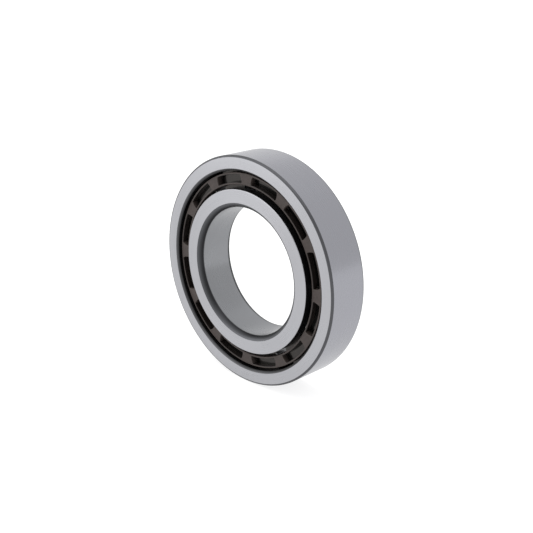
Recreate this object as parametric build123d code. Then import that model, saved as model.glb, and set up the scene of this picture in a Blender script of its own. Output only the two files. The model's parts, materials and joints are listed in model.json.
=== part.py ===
"""Cylindrical roller bearing, 70 x 125 x 24 mm, with a single flange on its inner ring.

The bearing stands upright on its outer ring. Its axis is Y, Z is up, and the origin is
the centre of the bearing. The inner ring's flange is on the -Y side, and its raceway
runs out plain on the +Y side.
"""
import os
from math import cos, radians, sin

from build123d import *

# Boundary dimensions
BORE_D = 70.0
OUTSIDE_D = 125.0
WIDTH = 24.0

# Rollers and the space they run in
ROLLER_COUNT = 12
ROLLER_D = 18.0
ROLLER_LENGTH = 13.0
ROLLER_CORNER = 0.7
PITCH_D = 98.0
RACE_CLEARANCE = 0.03  # between a centred roller and each raceway
END_CLEARANCE = 0.06  # between a centred roller's end and each flange

# Rings
OUTER_FLANGE_D = 108.8
OUTER_LEAD = 1.1  # chamfer from each side face into the outer ring's flanges
INNER_FLANGE_D = 89.6
INNER_FLANGE_CORNER = 0.4
FLANGE_EDGE = 0.2  # broken edge where a flange's rim meets its roller side
OUTSIDE_CORNER = 1.1
BORE_CORNER = 2.5
BORE_CORNER_CROWN = 0.2  # 0 is a flat chamfer, and ROUND_CROWN a quarter circle
RACE_RUN_OUT = 1.0  # chamfer at the plain end of the inner raceway
RELIEF_DEPTH = 0.25  # grinding relief at the foot of each flange
RELIEF_WIDTH = 0.9

# Cage
CAGE_SETBACK = 2.3  # from the rings' side faces to the cage's side faces
CAGE_BORE_D = 93.8
CAGE_OUTSIDE_D = 106.4
CAGE_EDGE = 0.25
CAGE_RIM = 1.0  # radial width of the two rims that cross each roller's end
POCKET_CLEARANCE = 0.4  # between a roller's side and its pocket
POCKET_END_CLEARANCE = 0.12  # between a roller's end and the rims
OPENING_CORNER = 0.4
CUT_OVERRUN = 1.0  # how far a cut passes beyond the face it opens

ROUND_CROWN = 2**0.5 - 1  # crown of a corner arc that is a quarter circle

half_width = WIDTH / 2
roller_half = ROLLER_LENGTH / 2
flange_y = roller_half + END_CLEARANCE
outer_race_r = (PITCH_D + ROLLER_D) / 2 + RACE_CLEARANCE
inner_race_r = (PITCH_D - ROLLER_D) / 2 - RACE_CLEARANCE
pitch_angle = 360 / ROLLER_COUNT


def corner_arc(start, end, corner, crown):
    """Convex arc that replaces a sharp corner, bulging from its chord by a share of the way."""
    middle = (Vector(*start) + Vector(*end)) / 2
    return ThreePointArc(start, middle + (Vector(*corner) - middle) * crown, end)


def round_corner(start, end, corner):
    return corner_arc(start, end, corner, ROUND_CROWN)


def turned(*outline):
    """Ring turned about the bearing's axis from an outline of (radius, y) points."""
    return revolve(make_face(Curve() + list(outline)), Axis.Y)


def relief(race_r, side, outward):
    """Grinding relief from the foot of the flange at y = side, back to the raceway."""
    inward = -1 if side > 0 else 1
    floor_r = race_r + outward * RELIEF_DEPTH
    near_y = side + inward * RELIEF_WIDTH
    return [(floor_r, side), (floor_r, near_y), (race_r, near_y + inward * RELIEF_DEPTH)]


def outer_ring():
    """Ring with a flange on each side of its raceway."""
    out_r = OUTSIDE_D / 2
    flange_r = OUTER_FLANGE_D / 2
    face_out_r = out_r - OUTSIDE_CORNER
    face_in_r = flange_r + OUTER_LEAD
    corner_y = half_width - OUTSIDE_CORNER
    lead_y = half_width - OUTER_LEAD
    edge_y = flange_y + FLANGE_EDGE
    edge_r = flange_r + FLANGE_EDGE
    foot = relief(outer_race_r, flange_y, 1)
    far_foot = relief(outer_race_r, -flange_y, 1)[::-1]
    return turned(
        round_corner((face_out_r, -half_width), (out_r, -corner_y), (out_r, -half_width)),
        Line((out_r, -corner_y), (out_r, corner_y)),
        round_corner((out_r, corner_y), (face_out_r, half_width), (out_r, half_width)),
        Polyline(
            (face_out_r, half_width),
            (face_in_r, half_width),
            (flange_r, lead_y),
            (flange_r, edge_y),
            (edge_r, flange_y),
            *foot,
            *far_foot,
            (edge_r, -flange_y),
            (flange_r, -edge_y),
            (flange_r, -lead_y),
            (face_in_r, -half_width),
            (face_out_r, -half_width),
        ),
    )


def inner_ring():
    """Ring with one flange, on the -Y side, and a plain raceway out to the +Y side."""
    bore_r = BORE_D / 2
    flange_r = INNER_FLANGE_D / 2
    face_in_r = bore_r + BORE_CORNER
    corner_y = half_width - BORE_CORNER
    rim_y = half_width - INNER_FLANGE_CORNER
    rim_r = flange_r - INNER_FLANGE_CORNER
    foot = relief(inner_race_r, -flange_y, -1)
    return turned(
        corner_arc((bore_r, -corner_y), (face_in_r, -half_width), (bore_r, -half_width),
                   BORE_CORNER_CROWN),
        Line((face_in_r, -half_width), (rim_r, -half_width)),
        round_corner((rim_r, -half_width), (flange_r, -rim_y), (flange_r, -half_width)),
        Polyline(
            (flange_r, -rim_y),
            (flange_r, -flange_y - FLANGE_EDGE),
            (flange_r - FLANGE_EDGE, -flange_y),
            *foot,
            (inner_race_r, half_width - RACE_RUN_OUT),
            (inner_race_r - RACE_RUN_OUT, half_width),
            (face_in_r, half_width),
        ),
        corner_arc((face_in_r, half_width), (bore_r, corner_y), (bore_r, half_width),
                   BORE_CORNER_CROWN),
        Line((bore_r, corner_y), (bore_r, -corner_y)),
    )


def around(radius, angle):
    """Point in the plane across the axis, at an angle clockwise from the top."""
    return (radius * sin(radians(angle)), radius * cos(radians(angle)))


def opening_outline(pocket_circle):
    """Part of a pocket's circle between the two rims, through which a roller's end shows."""
    low_r = CAGE_BORE_D / 2 + CAGE_RIM
    high_r = CAGE_OUTSIDE_D / 2 - CAGE_RIM
    outline = pocket_circle & (Circle(high_r) - Circle(low_r))
    return fillet(outline.vertices(), OPENING_CORNER)


def cage():
    """One-piece window cage: a moulded ring with a pocket for each roller."""
    side_y = half_width - CAGE_SETBACK
    pocket_half = roller_half + POCKET_END_CLEARANCE
    ring = extrude(Plane.XZ * Circle(CAGE_OUTSIDE_D / 2), side_y, both=True)
    ring -= extrude(Plane.XZ * Circle(CAGE_BORE_D / 2), side_y, both=True)
    ring = chamfer(ring.edges(), CAGE_EDGE)
    pocket_circle = Pos(0, PITCH_D / 2) * Circle(ROLLER_D / 2 + POCKET_CLEARANCE)
    pocket = extrude(Plane.XZ * pocket_circle, pocket_half, both=True)
    opening_plane = Plane.XZ.offset(pocket_half)
    opening = extrude(opening_plane * opening_outline(pocket_circle),
                      side_y - pocket_half + CUT_OVERRUN)
    far_opening = mirror(opening, Plane.XZ)
    for number in range(ROLLER_COUNT):
        turn = Rot(0, (number + 0.5) * pitch_angle, 0)
        ring -= turn * pocket
        ring -= turn * opening
        ring -= turn * far_opening
    return ring


def roller(number):
    """Plain cylindrical roller with rounded ends, in the cage's pocket of that number."""
    barrel = extrude(Plane.XZ * Circle(ROLLER_D / 2), roller_half, both=True)
    barrel = fillet(barrel.edges().filter_by(GeomType.CIRCLE), ROLLER_CORNER)
    x, z = around(PITCH_D / 2, (number - 0.5) * pitch_angle)
    return Pos(x, 0, z) * barrel


parts = {"outer_ring": outer_ring(), "inner_ring": inner_ring(), "cage": cage()}
for number in range(1, ROLLER_COUNT + 1):
    parts[f"roller_{number:02d}"] = roller(number)

os.makedirs("parts", exist_ok=True)
for name, shape in parts.items():
    export_step(shape, f"parts/{name}.step")
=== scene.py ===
"""The looks of a 70 x 125 x 24 mm cylindrical roller bearing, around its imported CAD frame.

Everything is in metres. The bearing's axis is Y, Z is up, and the inner ring's flange is on
the -Y side, which the camera looks at. Each visible piece stands for the CAD node that it
replaces and rides on the same body.
"""
import json
from itertools import product
from math import acos, cos, hypot, pi, radians, sin, sqrt

import bmesh
import bpy
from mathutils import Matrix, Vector


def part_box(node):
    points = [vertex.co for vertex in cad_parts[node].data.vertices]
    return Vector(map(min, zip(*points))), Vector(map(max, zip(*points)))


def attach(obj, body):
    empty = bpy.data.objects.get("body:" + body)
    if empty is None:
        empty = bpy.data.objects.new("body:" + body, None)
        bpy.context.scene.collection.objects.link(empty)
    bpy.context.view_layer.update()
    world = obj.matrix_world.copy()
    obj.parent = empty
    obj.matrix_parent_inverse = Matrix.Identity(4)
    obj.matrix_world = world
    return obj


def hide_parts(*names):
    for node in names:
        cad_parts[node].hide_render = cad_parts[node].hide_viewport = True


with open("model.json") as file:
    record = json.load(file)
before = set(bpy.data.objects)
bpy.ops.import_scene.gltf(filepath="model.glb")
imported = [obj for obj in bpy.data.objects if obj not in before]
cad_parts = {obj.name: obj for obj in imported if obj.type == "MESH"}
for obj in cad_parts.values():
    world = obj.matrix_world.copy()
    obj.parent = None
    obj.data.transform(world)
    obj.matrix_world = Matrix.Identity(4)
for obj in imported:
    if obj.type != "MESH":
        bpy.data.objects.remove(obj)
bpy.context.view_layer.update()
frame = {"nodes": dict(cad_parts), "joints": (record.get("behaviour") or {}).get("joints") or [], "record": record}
mounts = {mount["name"]: mount for mount in frame["record"]["mounts"]}
joints = {joint["name"]: joint for joint in frame["joints"]}

MM = 0.001

# Sizes that the frame gives
half_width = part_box("outer_ring")[1].y
bore_r = mounts["shaft_bore"]["dims"]["r_mm"] * MM
bore_corner = half_width - mounts["shaft_bore"]["dims"]["length_mm"] * MM / 2
outside_r = mounts["housing_seat"]["dims"]["r_mm"] * MM
outside_corner = half_width - mounts["housing_seat"]["dims"]["length_mm"] * MM / 2
inner_flange_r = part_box("inner_ring")[1].z
cage_outside_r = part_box("cage")[1].z
cage_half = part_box("cage")[1].y
roller_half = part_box("roller_01")[1].y
roller_r = (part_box("roller_01")[1].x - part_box("roller_01")[0].x) / 2
roller_count = sum(name.startswith("roller_") for name in frame["nodes"])
pitch_r = hypot(joints["roller_01_spin"]["pos_m"][0], joints["roller_01_spin"]["pos_m"][2])

# Sizes that the frame doesn't give, as part.py has them
RACE_CLEARANCE = 0.03 * MM
FLANGE_GAP = 0.06 * MM
OUTER_FLANGE_R = 54.4 * MM
OUTER_LEAD = 1.1 * MM
INNER_FLANGE_CORNER = 0.4 * MM
RELIEF_DEPTH = 0.25 * MM
RELIEF_WIDTH = 0.9 * MM
RACE_RUN_OUT = 1.0 * MM
BORE_CORNER_CROWN = 0.2
ROLLER_CORNER = 0.7 * MM
CAGE_BORE_R = 46.9 * MM
CAGE_RIM = 1.0 * MM
CAGE_EDGE = 0.25 * MM
POCKET_CLEARANCE = 0.4 * MM
POCKET_END_CLEARANCE = 0.12 * MM
OPENING_CORNER = 0.4 * MM

# Fillets and mesh density
EDGE = 0.12 * MM  # broken edge on a ground steel ring
TURNED = 0.5 * MM  # a fillet wider than this is a turned corner, with its own finish, a darker copy of the steel that paints shade
ARC_STEPS = 6
RING_STEPS = 288
ROLLER_STEPS = 120
WELD_GAP = 0.001 * MM
SHARP_ANGLE = radians(50)

# Where painted shade makes a finish darker
BORE_SHADE_WIDTH = 0.9 * MM  # painted shade on the bore, up to each of its corners
FLANK_SHADE_Y = 5.0 * MM  # the cage bars' flanks, painted shade from here to the middle

bore_end_y = half_width - bore_corner
flange_y = roller_half + FLANGE_GAP
outer_race_r = pitch_r + roller_r + RACE_CLEARANCE
inner_race_r = pitch_r - roller_r - RACE_CLEARANCE
pitch_angle = 2 * pi / roller_count


# Node helpers

NOISE_LOW, NOISE_HIGH = 0.3, 0.7  # where most of a noise's values lie


def add(tree, kind, inputs=None, **settings):
    """Adds a shader node. An input's value is a number, a colour or another node's socket."""
    node = tree.nodes.new("ShaderNode" + kind)
    for name, value in settings.items():
        setattr(node, name, value)
    for name, value in (inputs or {}).items():
        if isinstance(value, bpy.types.NodeSocket):
            tree.links.new(value, node.inputs[name])
        else:
            node.inputs[name].default_value = value
    return node


def new_material(name, sockets):
    """Material with constants set on its Principled shader. Returns material, tree, shader."""
    material = bpy.data.materials.new(name)
    material.use_nodes = True
    tree = material.node_tree
    shader = tree.nodes["Principled BSDF"]
    for socket, value in sockets.items():
        shader.inputs[socket].default_value = value
    return material, tree, shader


def spread(tree, source, low, high):
    """Maps a noise, whose values mostly lie near its middle, onto low to high."""
    ramp = add(tree, "MapRange", {"Value": source, "From Min": NOISE_LOW,
                                  "From Max": NOISE_HIGH, "To Min": low, "To Max": high})
    return ramp.outputs["Result"]


def distance_from(tree, reference):
    """The surface's distance from the piece's own Y axis, or from the plane across its middle."""
    place = add(tree, "TexCoord").outputs["Object"]
    keep = (1, 0, 1) if reference == "axis" else (0, 1, 0)
    part = add(tree, "VectorMath", {0: place, 1: keep}, operation="MULTIPLY")
    return add(tree, "VectorMath", {0: part.outputs["Vector"]}, operation="LENGTH").outputs["Value"]


def paint_shade(tree, shade, reference, dark_at, full_at, level):
    """Paints shade: the tone, smoothly made darker to a level as the distance from reference nears dark_at."""
    ramp = add(tree, "MapRange", {"Value": distance_from(tree, reference), "From Min": dark_at,
                                  "From Max": full_at, "To Min": level, "To Max": 1.0},
               interpolation_type="SMOOTHSTEP")
    scaled = add(tree, "Math", {0: shade, 1: ramp.outputs["Result"]}, operation="MULTIPLY")
    return scaled.outputs["Value"]


def tinted(tree, colour, factor):
    """The colour made lighter or darker by a factor that varies over the surface."""
    scaled = add(tree, "VectorMath", {0: colour[:3], "Scale": factor}, operation="SCALE")
    return scaled.outputs["Vector"]


# Materials

def lay_noise(tree, around_scale, across_scale, detail):
    """Noise drawn out around the piece's own Y axis, as a turning or grinding tool leaves it.

    around_scale says how fast it changes around the axis, and across_scale how fast it
    changes in a metre outward or along the axis.
    """
    place = add(tree, "TexCoord").outputs["Object"]
    axes = add(tree, "SeparateXYZ", {"Vector": place})
    flat = add(tree, "CombineXYZ", {"X": axes.outputs["X"], "Z": axes.outputs["Z"]})
    radius = add(tree, "VectorMath", {0: flat.outputs["Vector"]}, operation="LENGTH")
    outward = add(tree, "VectorMath", {0: flat.outputs["Vector"]}, operation="NORMALIZE")
    around = add(tree, "VectorMath", {0: outward.outputs["Vector"], "Scale": around_scale},
                 operation="SCALE")
    turn = add(tree, "SeparateXYZ", {"Vector": around.outputs["Vector"]})
    across = add(tree, "Math", {0: radius.outputs["Value"], 1: across_scale},
                 operation="MULTIPLY")
    along = add(tree, "Math", {0: axes.outputs["Y"], 1: across_scale}, operation="MULTIPLY")
    vector = add(tree, "CombineXYZ", {"X": turn.outputs["X"], "Y": across.outputs["Value"],
                                      "Z": turn.outputs["Z"]})
    noise = add(tree, "TexNoise", {"Vector": vector.outputs["Vector"],
                                   "W": along.outputs["Value"], "Scale": 1.0,
                                   "Detail": detail}, noise_dimensions="4D")
    return noise.outputs["Fac"]


def steel(name, colour, roughness, lines_per_metre, depth, contrast=0.02, smear=0.04,
          painted_shade=None):
    """Bearing steel with the fine lines of its turning, grinding or honing.

    contrast and smear say how far its colour and roughness vary, each way. The last
    argument says where painted shade makes it darker: "axis" or "middle", the distance from
    that where it is darkest, the distance where it has its full colour, and the share of it left at the darkest.
    """
    material, tree, shader = new_material(name, {"Metallic": 1.0, "Anisotropic": 0.65,
                                                 "Anisotropic Rotation": 0.25})
    around = add(tree, "Tangent", direction_type="RADIAL", axis="Y")
    tree.links.new(around.outputs["Tangent"], shader.inputs["Tangent"])
    lines = lay_noise(tree, around_scale=2.5, across_scale=lines_per_metre, detail=3.0)
    bands = lay_noise(tree, around_scale=1.2, across_scale=lines_per_metre / 12, detail=2.0)
    place = add(tree, "TexCoord").outputs["Object"]
    film = add(tree, "TexNoise", {"Vector": place, "Scale": 55.0, "Detail": 4.0})
    shade = add(tree, "Math", {0: spread(tree, lines, 1 - contrast, 1 + contrast),
                               1: spread(tree, bands, 1 - contrast, 1 + contrast)},
                operation="MULTIPLY").outputs["Value"]
    # Painted shade: the colour is made darker towards a corner, an edge or a window's depth
    if painted_shade:
        shade = paint_shade(tree, shade, *painted_shade)
    tree.links.new(tinted(tree, colour, shade), shader.inputs["Base Color"])
    blur = add(tree, "Math", {0: spread(tree, film.outputs["Fac"], -smear, smear),
                              1: spread(tree, lines, roughness - smear, roughness + smear)},
               operation="ADD")
    tree.links.new(blur.outputs["Value"], shader.inputs["Roughness"])
    bump = add(tree, "Bump", {"Height": lines, "Strength": 0.5, "Distance": depth})
    tree.links.new(bump.outputs["Normal"], shader.inputs["Normal"])
    return material


def polyamide(name, colour, gloss, roughness, painted_shade=None):
    """Glass-fibre reinforced polyamide: faintly mottled, with drawn-out fibres.

    roughness is its lowest and highest, and the last argument paints shade as in steel.
    """
    material, tree, shader = new_material(name, {"Specular IOR Level": gloss})
    place = add(tree, "TexCoord").outputs["Object"]
    cloud = add(tree, "TexNoise", {"Vector": place, "Scale": 160.0, "Detail": 5.0})
    grain = add(tree, "TexNoise", {"Vector": place, "Scale": 2600.0, "Detail": 2.0})
    fibres = lay_noise(tree, around_scale=40.0, across_scale=1600.0, detail=2.0)
    shade = add(tree, "Math", {0: spread(tree, cloud.outputs["Fac"], 0.88, 1.12),
                               1: spread(tree, fibres, 0.9, 1.12)},
                operation="MULTIPLY").outputs["Value"]
    # Painted shade: the colour is made darker towards a corner, an edge or a window's depth
    if painted_shade:
        shade = paint_shade(tree, shade, *painted_shade)
    tree.links.new(tinted(tree, colour, shade), shader.inputs["Base Color"])
    tree.links.new(spread(tree, grain.outputs["Fac"], *roughness), shader.inputs["Roughness"])
    bump = add(tree, "Bump", {"Height": grain.outputs["Fac"], "Strength": 0.35,
                              "Distance": 0.02 * MM})
    tree.links.new(bump.outputs["Normal"], shader.inputs["Normal"])
    return material


# Each steel's name, colour, roughness, lines in a metre, and the depth of the lines
STEEL_FINISHES = {
    "face": steel("ground_side_face", (0.372, 0.374, 0.394, 1), 0.30, 3200, 0.004 * MM),
    "outside": steel("ground_outside", (0.302, 0.304, 0.332, 1), 0.26, 3600, 0.001 * MM,
                     contrast=0.006, smear=0.02),
    # Painted shade: the bore is made darker over its last stretch before each corner
    "bore": steel("ground_bore", (0.243, 0.248, 0.260, 1), 0.30, 3600, 0.0015 * MM,
                  contrast=0.010,
                  painted_shade=("middle", bore_end_y, bore_end_y - BORE_SHADE_WIDTH, 0.12)),
    # Painted shade: the turned corners are a far darker copy of the steel, for the dark surroundings they reflect
    "corner": steel("turned_corner", (0.083, 0.084, 0.090, 1), 0.38, 1900, 0.008 * MM,
                    contrast=0.06),
    # Painted shade: the bore corner is a far darker copy of the steel, darker still towards the bore
    "bore_corner": steel("turned_bore_corner", (0.095, 0.097, 0.104, 1), 0.38, 1900, 0.008 * MM,
                         contrast=0.06, painted_shade=("axis", bore_r, bore_r + bore_corner, 0.28)),
    # Painted shade: the lead is a darker copy of the steel, darker still towards the flange bore
    "lead": steel("turned_lead", (0.105, 0.105, 0.110, 1), 0.34, 2400, 0.006 * MM,
                  contrast=0.05,
                  painted_shade=("axis", OUTER_FLANGE_R, OUTER_FLANGE_R + OUTER_LEAD, 0.35)),
    # Painted shade: the flange rims are a near-black copy of the steel, for the shade of the gaps they sit in
    "flange": steel("ground_flange_rim", (0.050, 0.050, 0.053, 1), 0.30, 3600, 0.003 * MM),
    # Painted shade: the raceways are a darker copy of the steel, for the shade of the gaps they show through
    "race": steel("honed_raceway", (0.15, 0.15, 0.155, 1), 0.14, 5200, 0.001 * MM,
                  contrast=0.015, smear=0.02),
}
# Painted shade: the rollers' steel is made far darker than bearing steel, for the shade of the windows and gaps
# they are seen through
ROLLER_FINISHES = {
    "barrel": steel("honed_roller", (0.18, 0.18, 0.185, 1), 0.16, 5200, 0.001 * MM,
                    contrast=0.015, smear=0.02),
    "corner": steel("roller_corner", (0.10, 0.10, 0.10, 1), 0.20, 3600, 0.003 * MM),
    "end": steel("ground_roller_end", (0.044, 0.041, 0.039, 1), 0.14, 4200, 0.002 * MM,
                 contrast=0.03, smear=0.03),
}
MOULDED, WINDOW_SHADE, FLANK = range(3)
CAGE_FINISHES = [
    polyamide("moulded_polyamide", (0.045, 0.035, 0.032, 1), gloss=0.30, roughness=(0.50, 0.64)),
    # Painted shade: the window walls and pocket are a near-black copy of the moulded polyamide, for the shade
    # inside the windows
    polyamide("window_shade_polyamide", (0.012, 0.009, 0.008, 1), gloss=0.35, roughness=(0.30, 0.42)),
    # Painted light and shade: the bar flanks are a lighter copy of the moulded polyamide at the face, turning
    # darker with depth into the window, down to a tenth near the middle
    polyamide("bar_flank_polyamide", (0.052, 0.041, 0.037, 1), gloss=0.35,
              roughness=(0.34, 0.48), painted_shade=("middle", FLANK_SHADE_Y, cage_half, 0.10)),
]


# Turned pieces

def arc_through(start, end, pull):
    """Points of a curve from start to end, tangent at both to the lines to pull."""
    points = []
    for step in range(ARC_STEPS + 1):
        share = step / ARC_STEPS
        points.append(start * (1 - share) ** 2 + pull * 2 * share * (1 - share) + end * share ** 2)
    return points


def fillet_arc(before, corner, after, fillet):
    """Points of a circular fillet between the lines from a corner to its neighbours."""
    back = (before - corner).normalized()
    on = (after - corner).normalized()
    middle = (back + on).normalized()
    half_angle = back.angle(on) / 2
    centre = corner + middle * (fillet / sin(half_angle))
    start = corner + back * (fillet * cos(half_angle) / sin(half_angle)) - centre
    end = corner + on * (fillet * cos(half_angle) / sin(half_angle)) - centre
    turn = start.angle(end)
    points = []
    for step in range(ARC_STEPS + 1):
        share = step / ARC_STEPS
        points.append(centre + (start * sin((1 - share) * turn) + end * sin(share * turn))
                      / sin(turn))
    return points


def rounded(outline, closed):
    """Profile points and the finish of the stretch after each, from (radius, y, fillet, finish)."""
    corners = [Vector(entry[:2]) for entry in outline]
    points, finishes = [], []
    for index, (_, _, fillet, finish) in enumerate(outline):
        if not fillet:
            points.append(corners[index])
            finishes.append(finish)
            continue
        before = corners[index - 1]
        after = corners[(index + 1) % len(corners)]
        arc = fillet_arc(before, corners[index], after, fillet)
        arc_finish = "corner" if fillet > TURNED else outline[index - 1][3]
        points += arc
        finishes += [arc_finish] * ARC_STEPS + [finish]
    if closed:
        points.append(points[0])
    return points, finishes


def finish_mesh(name, builder, finishes, centre):
    """Turns a bmesh into a smooth-shaded object with one material slot for each finish."""
    bmesh.ops.recalc_face_normals(builder, faces=builder.faces)
    mesh = bpy.data.meshes.new(name)
    builder.to_mesh(mesh)
    builder.free()
    for material in finishes:
        mesh.materials.append(material)
    mesh.shade_smooth()
    mesh.set_sharp_from_angle(angle=SHARP_ANGLE)
    piece = bpy.data.objects.new(name, mesh)
    piece.location = centre
    bpy.context.scene.collection.objects.link(piece)
    weighted = piece.modifiers.new("face_weighted_normals", "WEIGHTED_NORMAL")
    weighted.keep_sharp = True
    return piece


def lathe(name, outline, finishes, steps, centre=(0, 0, 0), closed=True):
    """Piece turned about the Y axis through its centre, from an outline of corners."""
    points, zones = rounded(outline, closed)
    slots = list(finishes)
    builder = bmesh.new()
    rings = []
    for point in points[:-1] if closed else points:
        angles = [2 * pi * step / steps for step in range(steps)]
        rings.append([builder.verts.new((point.x * sin(a), point.y, point.x * cos(a)))
                      for a in angles])
    if closed:
        rings.append(rings[0])
    for ring, following, zone in zip(rings, rings[1:], zones):
        for step in range(steps):
            after = (step + 1) % steps
            face = builder.faces.new((ring[step], ring[after], following[after],
                                      following[step]))
            face.material_index = slots.index(zone)
    bmesh.ops.remove_doubles(builder, verts=builder.verts, dist=WELD_GAP)
    return finish_mesh(name, builder, finishes.values(), centre)


def relief(race_r, side_y, outward):
    """Grinding relief from the foot of the flange at side_y, back to the raceway."""
    inward = -1 if side_y > 0 else 1
    floor_r = race_r + outward * RELIEF_DEPTH
    near_y = side_y + inward * RELIEF_WIDTH
    return [(floor_r, side_y, 0, "flange"), (floor_r, near_y, 0, "flange"),
            (race_r, near_y + inward * RELIEF_DEPTH, 0, "race")]


def make_outer_ring():
    face_in_r = OUTER_FLANGE_R + OUTER_LEAD
    lead_y = half_width - OUTER_LEAD
    foot = relief(outer_race_r, flange_y, 1)
    far_foot = relief(outer_race_r, -flange_y, 1)[::-1]
    outline = [
        (outside_r, -half_width, outside_corner, "outside"),
        (outside_r, half_width, outside_corner, "face"),
        (face_in_r, half_width, EDGE, "lead"),
        (OUTER_FLANGE_R, lead_y, EDGE, "flange"),
        (OUTER_FLANGE_R, flange_y, EDGE, "flange"),
        *foot,
        *far_foot,
        (OUTER_FLANGE_R, -flange_y, EDGE, "flange"),
        (OUTER_FLANGE_R, -lead_y, EDGE, "lead"),
        (face_in_r, -half_width, EDGE, "face"),
    ]
    return lathe("outer_ring_steel", outline, STEEL_FINISHES, RING_STEPS)


def bore_corner_points(side):
    """Crowned corner between the bore and the side face at y = side * half_width."""
    start = Vector((bore_r + bore_corner, side * half_width))
    end = Vector((bore_r, side * (half_width - bore_corner)))
    middle = (start + end) / 2
    pull = middle + (Vector((bore_r, side * half_width)) - middle) * 2 * BORE_CORNER_CROWN
    return [(point.x, point.y, 0, "bore_corner") for point in arc_through(start, end, pull)]


def make_inner_ring():
    near = bore_corner_points(-1)
    far = bore_corner_points(1)[::-1]
    outline = [
        (*near[-1][:2], EDGE, "bore_corner"),
        *near[-2:0:-1],
        (*near[0][:2], EDGE, "face"),
        (inner_flange_r, -half_width, INNER_FLANGE_CORNER, "flange"),
        (inner_flange_r, -flange_y, EDGE, "flange"),
        *relief(inner_race_r, -flange_y, -1),
        (inner_race_r, half_width - RACE_RUN_OUT, EDGE, "corner"),
        (inner_race_r - RACE_RUN_OUT, half_width, EDGE, "face"),
        (*far[-1][:2], EDGE, "bore_corner"),
        *far[-2:0:-1],
        (*far[0][:2], EDGE, "bore"),
    ]
    return lathe("inner_ring_steel", outline, STEEL_FINISHES, RING_STEPS)


def make_roller(number):
    outline = [
        (0, -roller_half, 0, "end"),
        (roller_r, -roller_half, ROLLER_CORNER, "barrel"),
        (roller_r, roller_half, ROLLER_CORNER, "end"),
        (0, roller_half, 0, "end"),
    ]
    centre = joints[f"roller_{number:02d}_spin"]["pos_m"]
    return lathe(f"roller_{number:02d}_steel", outline, ROLLER_FINISHES, ROLLER_STEPS, centre,
                 closed=False)


# The cage is a grid of cells: rows out from the axis, columns around it, layers along it

WINDOW_ROWS = 4
WINDOW_COLUMNS = 5  # on each side of the window's middle
BAR_COLUMNS = 3
EDGE_LAYERS = 3

low_r = CAGE_BORE_R + CAGE_RIM
high_r = cage_outside_r - CAGE_RIM
pocket_r = roller_r + POCKET_CLEARANCE
pocket_half = roller_half + POCKET_END_CLEARANCE


def pocket_flank(radius):
    """Angle from a pocket's middle to its wall, which is a circle about the roller's centre."""
    return acos((radius ** 2 + pitch_r ** 2 - pocket_r ** 2) / (2 * radius * pitch_r))


def cage_rows(inset):
    """Radii of the grid's rows, where an edge is set in by that much."""
    window_height = high_r - low_r - 2 * OPENING_CORNER
    window = [low_r + OPENING_CORNER + window_height * step / WINDOW_ROWS
              for step in range(WINDOW_ROWS + 1)]
    return [CAGE_BORE_R + inset, low_r - inset, *window, high_r + inset, cage_outside_r - inset]


def cage_columns(radius, inset):
    """Angles of the grid's columns, from a window's middle to the middle of the next bar."""
    corner = pocket_flank(radius) - OPENING_CORNER / radius
    window = [corner * step / (WINDOW_COLUMNS - 1) for step in range(WINDOW_COLUMNS)]
    flank = pocket_flank(radius) + inset / radius
    bar_half = pitch_angle / 2 - flank
    return window + [flank + bar_half * step / BAR_COLUMNS for step in range(BAR_COLUMNS + 1)]


def cage_layers():
    """(y, inset) of the grid's layers, with a rounded edge at each side face."""
    edge = [(cage_half - CAGE_EDGE * (1 - sin(step * pi / 2 / EDGE_LAYERS)),
             CAGE_EDGE * (1 - cos(step * pi / 2 / EDGE_LAYERS)))
            for step in range(EDGE_LAYERS + 1)]
    near = [(-y, inset) for y, inset in reversed(edge)]
    return near + [(-pocket_half, 0), (pocket_half, 0)] + edge


layers = cage_layers()
row_count = len(cage_rows(0)) - 1
half_count = len(cage_columns(pitch_r, 0)) - 1
layer_count = len(layers) - 1
pocket_layer = layer_count // 2
sector_columns = 2 * half_count
column_count = sector_columns * roller_count


def cage_point(row, column, layer):
    """Radius, y and angle of a corner of the grid, within the sector of one roller."""
    y, inset = layers[layer]
    radius = cage_rows(inset)[row]
    half = cage_columns(radius, inset)
    offset = column - half_count
    angle = half[abs(offset)]
    at_corner = abs(offset) == WINDOW_COLUMNS and row in (1, row_count - 1)
    if at_corner and abs(y) > pocket_half:
        rounding = OPENING_CORNER * (1 - sqrt(0.5))
        angle -= rounding / radius
        radius += rounding if row == 1 else -rounding
    return radius, y, -angle if offset < 0 else angle


def cage_solid(row, column, layer):
    """Whether a cell is filled: a window leaves its cells open, and a pocket all but the bars."""
    if not (0 <= row < row_count and 0 <= layer < layer_count):
        return False
    in_pocket = abs(column % sector_columns - half_count + 0.5) < WINDOW_COLUMNS
    if layer == pocket_layer:
        return not in_pocket
    return not (in_pocket and 0 < row < row_count - 1)


def moved(place, axis, by=1):
    """The place in the grid that is so many steps further along an axis."""
    return tuple(value + by * (index == axis) for index, value in enumerate(place))


def cage_finish(cell, axis, row):
    """Finish of a cell's side that faces along an axis, at that row of the grid."""
    if axis == 1:
        return FLANK
    window_wall = axis == 0 and 0 < row < row_count
    # The window walls and the pocket take the near-black polyamide that paints their shade
    return WINDOW_SHADE if window_wall or cell[2] == pocket_layer else MOULDED


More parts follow.
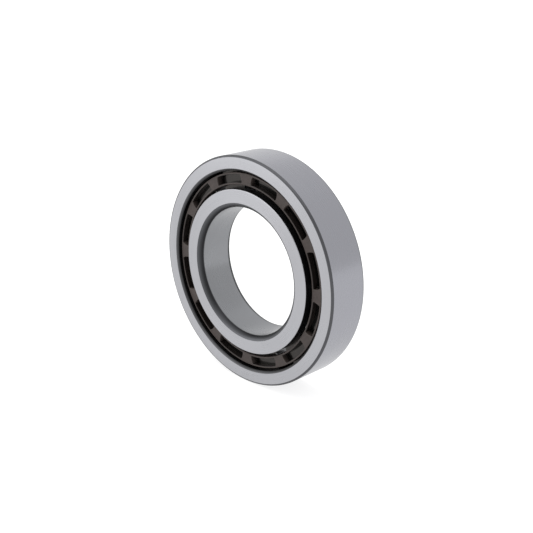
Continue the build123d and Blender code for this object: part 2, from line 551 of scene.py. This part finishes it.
def make_cage():
    builder = bmesh.new()
    corners = {}

    def corner(row, column, layer):
        key = (row, column % column_count, layer)
        if key not in corners:
            sector, local = divmod(key[1], sector_columns)
            radius, y, angle = cage_point(row, local, layer)
            angle += (sector + 0.5) * pitch_angle
            corners[key] = builder.verts.new((radius * sin(angle), y, radius * cos(angle)))
        return corners[key]

    for cell in product(range(row_count), range(column_count), range(layer_count)):
        if not cage_solid(*cell):
            continue
        for axis, side in product(range(3), (0, 1)):
            if cage_solid(*moved(cell, axis, 2 * side - 1)):
                continue
            start = moved(cell, axis, side)
            u, v = [other for other in range(3) if other != axis]
            quad = [start, moved(start, u), moved(moved(start, u), v), moved(start, v)]
            face = builder.faces.new([corner(*place) for place in quad])
            face.material_index = cage_finish(cell, axis, start[0])
    return finish_mesh("cage_moulding", builder, CAGE_FINISHES, (0, 0, 0))


# Studio

FLOOR_R = 9.0
FLOOR_STEPS = 96
FLOOR_COLOUR = (0.34, 0.34, 0.34)
FLOOR_GLOW = 0.76  # a light table's, so that the floor stays white under the bearing

CAMERA_AZIMUTH = 45.69
CAMERA_ELEVATION = 19.69
CAMERA_DISTANCE = 0.4769
SENSOR_MM = 36.0
LENS_MM = 60.07
SHIFT_X = 0.0131
SHIFT_Y = 0.00225


def make_floor():
    """Pale floor under the bearing, glowing like a light table."""
    builder = bmesh.new()
    bmesh.ops.create_circle(builder, cap_ends=True, radius=FLOOR_R, segments=FLOOR_STEPS)
    material, tree, shader = new_material("pale_floor", {"Roughness": 0.9,
                                                         "Emission Color": (1, 1, 1, 1),
                                                         "Emission Strength": FLOOR_GLOW})
    place = add(tree, "TexCoord").outputs["Object"]
    cloud = add(tree, "TexNoise", {"Vector": place, "Scale": 3.0, "Detail": 3.0})
    shade = spread(tree, cloud.outputs["Fac"], 0.985, 1.0)
    tree.links.new(tinted(tree, FLOOR_COLOUR, shade), shader.inputs["Base Color"])
    mesh = bpy.data.meshes.new("floor")
    builder.to_mesh(mesh)
    builder.free()
    mesh.materials.append(material)
    floor = bpy.data.objects.new("floor", mesh)
    floor.location = (0, 0, -outside_r)
    bpy.context.scene.collection.objects.link(floor)


def direction(azimuth, elevation):
    """Unit vector away from the origin. Azimuth 0 is on the -Y side, and 90 on the +X side."""
    turn, rise = radians(azimuth), radians(elevation)
    return Vector((cos(rise) * sin(turn), -cos(rise) * cos(turn), sin(rise)))


def softbox(name, azimuth, elevation, distance, width, height, radiance):
    """Area light that faces the origin, as bright as its radiance says."""
    light = bpy.data.lights.new(name, "AREA")
    light.shape = "RECTANGLE"
    light.size = width
    light.size_y = height
    light.energy = radiance * pi * width * height
    lamp = bpy.data.objects.new(name, light)
    away = direction(azimuth, elevation)
    lamp.location = away * distance
    lamp.rotation_euler = away.to_track_quat("Z", "Y").to_euler()
    lamp.visible_camera = False
    bpy.context.scene.collection.objects.link(lamp)


def soft_sun(name, azimuth, elevation, spread_angle, irradiance):
    """Even light from overhead, as wide as the angle says, that reaches the whole floor."""
    light = bpy.data.lights.new(name, "SUN")
    light.energy = irradiance
    light.angle = radians(spread_angle)
    lamp = bpy.data.objects.new(name, light)
    lamp.rotation_euler = direction(azimuth, elevation).to_track_quat("Z", "Y").to_euler()
    bpy.context.scene.collection.objects.link(lamp)


def make_world(radiance):
    world = bpy.data.worlds.new("studio")
    world.use_nodes = True
    background = world.node_tree.nodes["Background"]
    background.inputs["Color"].default_value = (1.0, 1.0, 1.0, 1)
    background.inputs["Strength"].default_value = radiance
    bpy.context.scene.world = world


def make_camera():
    """Camera at the viewing angle, aimed at the bearing's centre."""
    data = bpy.data.cameras.new("camera")
    data.sensor_width = SENSOR_MM
    data.lens = LENS_MM
    data.shift_x = SHIFT_X
    data.shift_y = SHIFT_Y
    data.clip_start = 0.01
    camera = bpy.data.objects.new("camera", data)
    away = direction(CAMERA_AZIMUTH, CAMERA_ELEVATION)
    camera.location = away * CAMERA_DISTANCE
    camera.rotation_euler = away.to_track_quat("Z", "Y").to_euler()
    bpy.context.scene.collection.objects.link(camera)
    bpy.context.scene.camera = camera


make_world(radiance=1.0)
make_floor()
soft_sun("overhead_silk", azimuth=-30, elevation=78, spread_angle=70, irradiance=1.1)
softbox("back_left_box", azimuth=-135, elevation=22, distance=1.6, width=1.0, height=0.7,
        radiance=0.15)
softbox("front_left_box", azimuth=-45, elevation=14, distance=1.8, width=1.6, height=1.0,
        radiance=1.4)
make_camera()
bpy.context.scene.view_settings.view_transform = "Standard"


# Assembly

def stand_for(piece, node):
    """The piece replaces the CAD node of that name and moves with the body of that name."""
    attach(piece, node)
    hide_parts(node)


stand_for(make_outer_ring(), "outer_ring")
stand_for(make_inner_ring(), "inner_ring")
stand_for(make_cage(), "cage")
for number in range(1, roller_count + 1):
    stand_for(make_roller(number), f"roller_{number:02d}")
